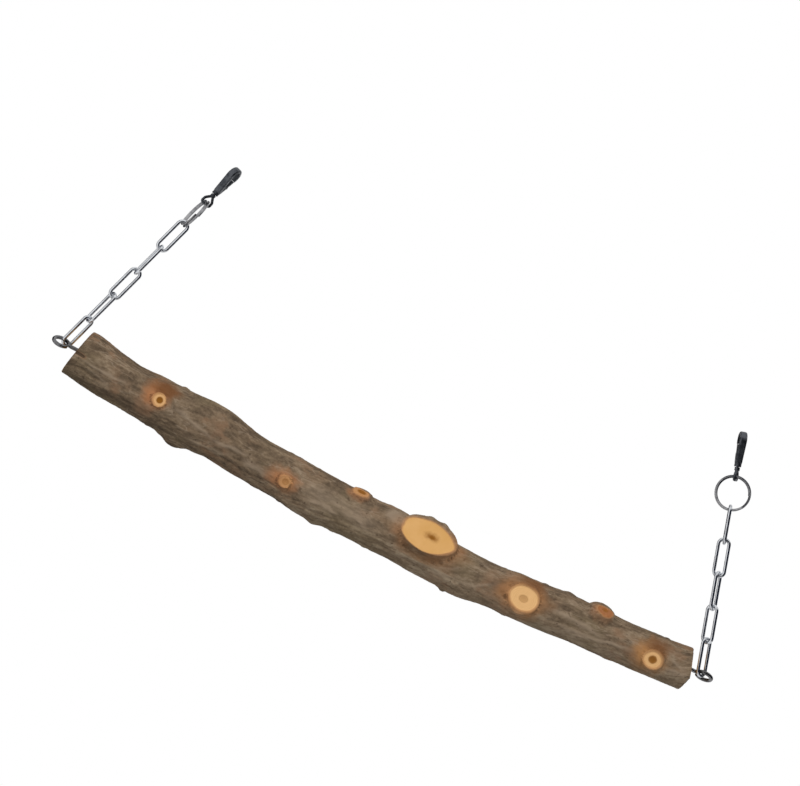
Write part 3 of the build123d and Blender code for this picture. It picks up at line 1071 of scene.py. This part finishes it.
    def faces(self, points: np.ndarray) -> tuple[dict[str, np.ndarray], np.ndarray, np.ndarray]:
        """Sawn faces of the pruned shoots.

        Args:
            points: The skin's points.

        Returns:
            The attributes that the finish reads, how far each point moves for the faces' lips and
            hearts, and the share of the bark's relief that is left beside the knots.
        """
        count = len(points)
        found = {name: np.full(count, FAR_RADIUS) for name in ("face_radius", "heart_radius")}
        found |= {name: np.zeros((count, 3)) for name in ("core", "tint", "halo")}
        found["edge"] = np.tile((self.girth, *self.bark_edge), (count, 1))
        push = np.zeros_like(points)
        left = np.ones(count)
        for knot in self.knots:
            rim, heart = knot.polar(points)
            left *= 1.0 - self.calm_share * (1.0 - step(rim, *self.calm_rim))
            if not knot.sawn:
                continue
            nearer = rim < found["face_radius"]
            found["face_radius"][nearer] = rim[nearer]
            found["heart_radius"][nearer] = heart[nearer]
            found["edge"][nearer] = (knot.half_length, knot.soft, knot.core_soft)
            found["core"][nearer] = (knot.core, knot.core_depth, knot.hub_depth)
            found["tint"][nearer] = (knot.red, knot.tan, knot.outline)
            found["halo"][:, :2] = np.maximum(found["halo"][:, :2], knot.halo(points))
            found["halo"][nearer, 2] = knot.gold
            lip = step(rim, *self.lip_inner) * (1.0 - step(rim, *self.lip_outer))
            hollow = 1.0 - step(heart, self.heart_start * knot.core, knot.core)
            push += np.outer(self.lip_height * lip - self.heart_depth * hollow, knot.outward())
        return found, push, left

    def build(self) -> bpy.types.Object:
        """Model the branch.

        Returns:
            The finished piece with the attributes that its finish reads.
        """
        piece = self.skin()
        points = points_of(piece)
        middle = self.centre_line(points)
        aside = points[:, 1:] - middle
        reach = np.hypot(aside[:, 0], aside[:, 1])
        turn = np.arctan2(aside[:, 1], -aside[:, 0])
        depth = self.saw_depth(points)
        grain = self.grain(points, reach, turn)
        # relief carries painted shade in hollows and painted light on ridges, partly the bark's own
        # colour, and then the lighter and darker stretches.
        height, relief = self.relief(grain)
        relief += sum(shade.over(turn, points[:, 0]) for shade in self.shades)
        pale = self.pale_ridges(points, middle)
        faces, push, left = self.faces(points)
        end_crack = self.end_cracks(reach, turn, depth)
        split = self.bark_split(points, middle)
        height = (height + self.pale_height * pale) * left * step(faces["face_radius"], *self.bare_rim)
        height *= np.clip(reach / self.girth, 0.0, 1.0) ** self.middle_power
        height -= self.split_depth * split * (depth > self.split_skin)
        for place, size, rise in self.lumps:
            height += rise * np.exp(-(distance_to(points, place) / size) ** 2)
        away = reach[:, None]
        outward = np.divide(aside, away, out=np.zeros_like(aside), where=away > TINY)
        half_way = (self.left_end[0] + self.right_end[0]) / 2
        points[:, 1:] += outward * height[:, None]
        points += push
        points[:, 0] += np.where(points[:, 0] < half_way, 1.0, -1.0) * self.crack_depth * end_crack
        piece.data.vertices.foreach_set("co", points.ravel())
        values = {**faces, "grain": grain, "relief": relief, "pale_ridge": pale, "saw_depth": depth,
                  "end_radius": reach / self.girth, "check_crack": np.maximum(end_crack, split)}
        for name, rows in values.items():
            self.write(piece, name, rows)
        piece.data.update()
        return piece

    @staticmethod
    def write(piece: bpy.types.Object, name: str, values: np.ndarray) -> None:
        """Store one number or vector for each vertex.

        Args:
            piece: The piece that carries the attribute.
            name: The attribute's name.
            values: One number or row for each vertex.
        """
        kind, field_name = ("FLOAT", "value") if values.ndim == 1 else ("FLOAT_VECTOR", "vector")
        attribute = piece.data.attributes.new(name, kind, "POINT")
        attribute.data.foreach_set(field_name, values.astype(np.float32).ravel())

    def dress(self, piece: bpy.types.Object, material: bpy.types.Material) -> None:
        """Give the piece its finish and put it in the solid's place.

        Args:
            piece: The modelled branch.
            material: The bark's material.
        """
        piece.data.materials.clear()
        piece.data.materials.append(material)
        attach(piece, self.body)
        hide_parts(self.node)
        LOG.info("%s: %d faces", piece.name, len(piece.data.polygons))


@dataclass
class HangingChain:
    """One chain with its screw eye, split ring and snap hook, all kept from the CAD model."""

    side: Side

    def dress(self, materials: dict[Slot, bpy.types.Material]) -> None:
        """Give each of this side's CAD nodes the finish that the record names.

        Args:
            materials: Material of each slot.
        """
        for row in frame["record"]["subparts"]:
            name = row["node"]
            if name.startswith(self.side.value):
                mesh = frame["nodes"][name].data
                mesh.materials.clear()
                mesh.materials.append(materials[Slot(row["material_slot"])])
                LOG.info("%s: %s", name, row["material_slot"])


@dataclass
class Studio:
    """Camera, soft lamps, white background, pale floor and the dark cards that metal reflects."""

    target: Triple = (0.1749, 0.0, -0.0814)
    distance: float = 3.0
    frame_width: float = 0.5634
    roll: float = 27.5
    sensor: float = 36.0
    sky: float = 0.42
    lamps: tuple[tuple[str, Triple, float, float], ...] = (
        ("key_lamp", (-0.6, -1.9, 1.5), 1.2, 0.62),
        ("fill_lamp", (1.6, -1.5, 0.8), 1.4, 0.18),
        ("back_lamp", (0.4, 2.0, 1.4), 1.4, 0.30),
    )
    floor_level: float = -0.62
    floor_radius: float = 1.1
    floor_sides: int = 96
    floor_white: Pair = (0.80, 1.0)
    floor_fade: Pair = (0.45, 0.95)
    floor_grey: float = 0.50
    cards: tuple[tuple[str, Pair], ...] = (("front_card", (-14.0, 125.0)), ("back_card", (-165.0, -100.0)))
    card_radius: float = 1.6
    card_height: float = 2.4
    card_sides: int = 72
    card_colour: Colour = (0.016, 0.020, 0.034)

    def add_camera(self) -> None:
        """Place the camera square to the branch, rolled as the perch is tilted in its picture."""
        data = bpy.data.cameras.new("perch_camera")
        data.sensor_width = self.sensor
        data.lens = self.sensor * self.distance / self.frame_width
        camera = bpy.data.objects.new("perch_camera", data)
        bpy.context.scene.collection.objects.link(camera)
        turn = math.radians(self.roll)
        right = Vector((math.cos(turn), 0.0, math.sin(turn)))
        up = Vector((-math.sin(turn), 0.0, math.cos(turn)))
        back = Vector((0.0, -1.0, 0.0))
        place = Matrix((right, up, back)).transposed().to_4x4()
        place.translation = Vector(self.target) + back * self.distance
        camera.matrix_world = place
        bpy.context.scene.camera = camera

    def add_lamp(self, name: str, place: Triple, size: float, level: float) -> None:
        """Add a soft lamp aimed at the perch, which its metal doesn't mirror.

        Args:
            name: The lamp's name.
            place: Where it stands.
            size: Side of its square face.
            level: Brightness that it gives a white surface square to it.
        """
        data = bpy.data.lights.new(name, "AREA")
        data.size = size
        away = Vector(place) - Vector(self.target)
        data.energy = level * math.pi ** 2 * away.length_squared
        lamp = bpy.data.objects.new(name, data)
        bpy.context.scene.collection.objects.link(lamp)
        lamp.visible_glossy = False
        lamp.location = place
        lamp.rotation_euler = away.to_track_quat("Z", "Y").to_euler()

    @staticmethod
    def seen(shader: Shader) -> Value:
        """Share of rays that show the background: straight from the camera, mirrored or let through."""
        rays = [shader.node("ShaderNodeLightPath", output=name)
                for name in ("Is Camera Ray", "Is Glossy Ray", "Is Transmission Ray")]
        return rays[0].most(rays[1]).most(rays[2])

    @staticmethod
    def glow(shader: Shader, colour: Colour) -> Value:
        """Surface that shows a colour as it is, whatever the light."""
        return shader.node("ShaderNodeEmission", {}, {"Color": opaque(colour), "Strength": 1.0})

    def add_sky(self) -> None:
        """Even light from all round, seen as plain white."""
        world = bpy.data.worlds.new("studio_white")
        world.use_nodes = True
        bpy.context.scene.world = world
        shader = Shader(world.node_tree)
        light, white = (
            shader.node("ShaderNodeBackground", {}, {"Color": opaque(WHITE), "Strength": strength})
            for strength in (self.sky, 1.0))
        both = shader.node("ShaderNodeMixShader", {}, {0: self.seen(shader), 1: light, 2: white})
        shader.node("ShaderNodeOutputWorld", {}, {"Surface": both})

    def add_floor(self) -> None:
        """Pale round floor below the perch, which keeps its shadow and fades to white at its rim."""
        centre = (self.target[0], 0.0, self.floor_level)
        bpy.ops.object.select_all(action="DESELECT")
        bpy.ops.mesh.primitive_circle_add(vertices=self.floor_sides, radius=self.floor_radius,
                                          fill_type="NGON", location=(0.0, 0.0, 0.0))
        floor = bpy.context.active_object
        floor.name = "floor"
        bpy.ops.object.mode_set(mode="EDIT")
        bpy.ops.mesh.select_all(action="SELECT")
        bpy.ops.transform.translate(value=centre)
        bpy.ops.object.mode_set(mode="OBJECT")
        material, shader = new_material("floor_white")
        centred = shader.node("ShaderNodeVectorMath", {"operation": "SUBTRACT"},
                              {0: shader.place(), 1: centre})
        reach = shader.node("ShaderNodeVectorMath", {"operation": "LENGTH"}, {0: centred}, "Value")
        low, high = self.floor_white
        white = reach.rise(*(share * self.floor_radius for share in self.floor_fade))
        pale = shader.node("ShaderNodeBsdfDiffuse", {}, {"Color": opaque((self.floor_grey,) * 3)})
        shader.finish(shader.node("ShaderNodeMixShader", {}, {
            0: self.seen(shader) * white.spread(low, high - low), 1: pale, 2: self.glow(shader, WHITE)}))
        floor.data.materials.append(material)

    def add_card(self, name: str, arc: Pair) -> None:
        """Add a curved dark card, which only mirrored rays see, to give the wire a dark edge.

        Args:
            name: The card's name.
            arc: Where it starts and ends round the perch, in degrees from the camera.
        """
        low = (self.target[0], 0.0, self.target[2] - self.card_height / 2)
        bpy.ops.object.select_all(action="DESELECT")
        bpy.ops.mesh.primitive_circle_add(vertices=self.card_sides, radius=self.card_radius, location=low)
        card = bpy.context.active_object
        card.name = name
        places = points_of(card)
        turns = np.degrees(np.arctan2(places[:, 0], -places[:, 1]))
        pick_points(card, (turns < arc[0]) | (turns > arc[1]))
        bpy.ops.mesh.delete(type="VERT")
        bpy.ops.mesh.select_all(action="SELECT")
        bpy.ops.mesh.extrude_region_move(TRANSFORM_OT_translate={"value": (0.0, 0.0, self.card_height)})
        bpy.ops.object.mode_set(mode="OBJECT")
        material, shader = new_material(f"{name}_black")
        shader.finish(self.glow(shader, self.card_colour))
        card.data.materials.append(material)
        card.visible_camera = False
        card.visible_diffuse = False
        card.visible_transmission = False
        card.visible_shadow = False

    def build(self) -> None:
        """Set up the whole studio."""
        bpy.context.scene.view_settings.view_transform = "Standard"
        self.add_camera()
        self.add_sky()
        for lamp in self.lamps:
            self.add_lamp(*lamp)
        self.add_floor()
        for card in self.cards:
            self.add_card(*card)


KNOTS = (
    Knot((0.0281, -0.0195, -0.1635), 7, 0.0048, 0.0049, core=0.52, core_depth=0.97, hub_depth=0.3,
         red=0.30, halo_shift=(-0.0036, 0.0022), halo_size=(0.0138, 0.0140), blush=1.0,
         stain_shift=(0.0006, 0.0090), stain_size=(0.0140, 0.0095), stain=1.0, soft=0.0010,
         core_soft=0.40),
    Knot((0.0490, -0.0022, -0.1892), -86, 0.0060, 0.0045, sawn=False),
    Knot((0.1324, -0.0179, -0.1735), -9, 0.0043, 0.0042, core=0.60, core_depth=0.36, hub_depth=0.0,
         red=0.74, halo_shift=(-0.0024, 0.0), halo_size=(0.0180, 0.0105), blush=0.88, soft=0.0010),
    Knot((0.1830, -0.0113, -0.1560), 62, 0.0058, 0.0044, core=0.62, core_depth=0.92, tan=0.3,
         red=0.75, heart=(0.05, 0.12), halo_shift=(-0.0016, -0.0010), halo_size=(0.0115, 0.0078),
         blush=0.75, cap=0.62, soft=0.0007, core_soft=0.40),
    Knot((0.2397, -0.0172, -0.1615), 40, 0.0205, 0.0133, core=0.31, core_depth=0.52, hub_depth=0.95,
         tan=1.0, heart=(0.09, 0.08), halo_shift=(0.0010, -0.0008), halo_size=(0.0385, 0.0180),
         blush=0.85, gold=0.4, soft=0.0007, core_soft=0.65, outline=0.0, ragged_share=0.04,
         lobes=(0.98, 0.90, 0.935, 0.99, 1.0, 1.05, 0.96, 1.02, 1.05, 1.06, 0.93, 0.88)),
    Knot((0.2649, -0.0015, -0.1917), -88, 0.0017, 0.0017, sawn=False),
    Knot((0.3187, -0.0150, -0.1691), 2, 0.0107, 0.0086, core=0.34, core_depth=0.36, hub_depth=0.10,
         heart=(-0.05, -0.03), halo_shift=(-0.0004, 0.0), halo_size=(0.0235, 0.0190), blush=0.95,
         gold=0.55, stain_shift=(0.0010, 0.0135), stain_size=(0.0160, 0.0080), stain=0.70, soft=0.0011,
         ragged_share=0.05,
         lobes=(0.98, 0.97, 0.99, 1.0, 1.04, 1.06, 1.05, 0.97, 0.95, 0.97, 0.95, 0.96)),
    Knot((0.3736, -0.0080, -0.1512), 56, 0.0060, 0.0054, core=0.42, core_depth=0.50, red=1.15,
         heart=(-0.04, 0.16), halo_shift=(-0.0020, -0.0010), halo_size=(0.0105, 0.0080), blush=0.70,
         cap=0.60, soft=0.0007),
    Knot((0.4185, -0.0117, -0.1655), -9, 0.0066, 0.0061, core=0.50, core_depth=0.93, hub_depth=0.3,
         red=0.08, halo_shift=(-0.0030, -0.0004), halo_size=(0.0180, 0.0150), blush=0.98, gold=1.0,
         stain_shift=(0.0004, 0.0085), stain_size=(0.0135, 0.0085), stain=0.85, soft=0.0013,
         core_soft=0.45),
)
RIDGES = (
    PaleRidge(((-0.034, -0.1640), (-0.018, -0.1635), (0.003, -0.1640)), 0.0012, 1.0),
    PaleRidge(((-0.030, -0.1680), (-0.018, -0.1690), (-0.008, -0.1715)), 0.0012, 0.6),
    PaleRidge(((0.036, -0.1630), (0.050, -0.1650), (0.066, -0.1690), (0.078, -0.1725)), 0.0014, 0.8),
    PaleRidge(((0.056, -0.1785), (0.072, -0.1775), (0.090, -0.1755)), 0.0012, 0.7),
    PaleRidge(((0.070, -0.1725), (0.085, -0.1705), (0.104, -0.1690)), 0.0014, 0.8),
    PaleRidge(((0.098, -0.1740), (0.110, -0.1745), (0.120, -0.1765)), 0.0018, 0.8),
    PaleRidge(((0.146, -0.1650), (0.156, -0.1690), (0.166, -0.1730)), 0.0013, 0.7),
    PaleRidge(((0.148, -0.1770), (0.162, -0.1755), (0.178, -0.1765)), 0.0016, 0.9),
    PaleRidge(((0.176, -0.1720), (0.188, -0.1735), (0.202, -0.1785)), 0.0014, 0.8),
    PaleRidge(((0.140, -0.1715), (0.172, -0.1705), (0.208, -0.1735)), 0.0055, 0.60),
    PaleRidge(((0.204, -0.1602), (0.213, -0.1602), (0.223, -0.1603)), 0.0030, 1.2),
    PaleRidge(((0.252, -0.1800), (0.262, -0.1745), (0.272, -0.1700)), 0.0010, 0.5),
    PaleRidge(((0.272, -0.1790), (0.284, -0.1770), (0.296, -0.1690)), 0.0012, 0.6),
    PaleRidge(((0.335, -0.1680), (0.350, -0.1665), (0.366, -0.1670), (0.384, -0.1690)), 0.0018, 0.8),
    PaleRidge(((0.342, -0.1735), (0.358, -0.1745), (0.372, -0.1725), (0.386, -0.1690),
               (0.406, -0.1665)), 0.0014, 1.0),
    PaleRidge(((0.428, -0.1590), (0.436, -0.1600), (0.443, -0.1625)), 0.0010, 0.7),
    PaleRidge(((0.430, -0.1670), (0.440, -0.1655), (0.446, -0.1640)), 0.0014, 0.9),
)


def main() -> None:
    """Build the perch's looks around its CAD frame."""
    logging.basicConfig(level=logging.INFO, format="%(name)s: %(message)s")
    materials = {slot: finish.material() for slot, finish in FINISHES.items()}
    branch = BarkBranch(KNOTS, RIDGES)
    branch.dress(branch.build(), materials[Slot.BARK])
    for side in Side:
        HangingChain(side).dress(materials)
    Studio().build()


if __name__ == "__main__":
    main()
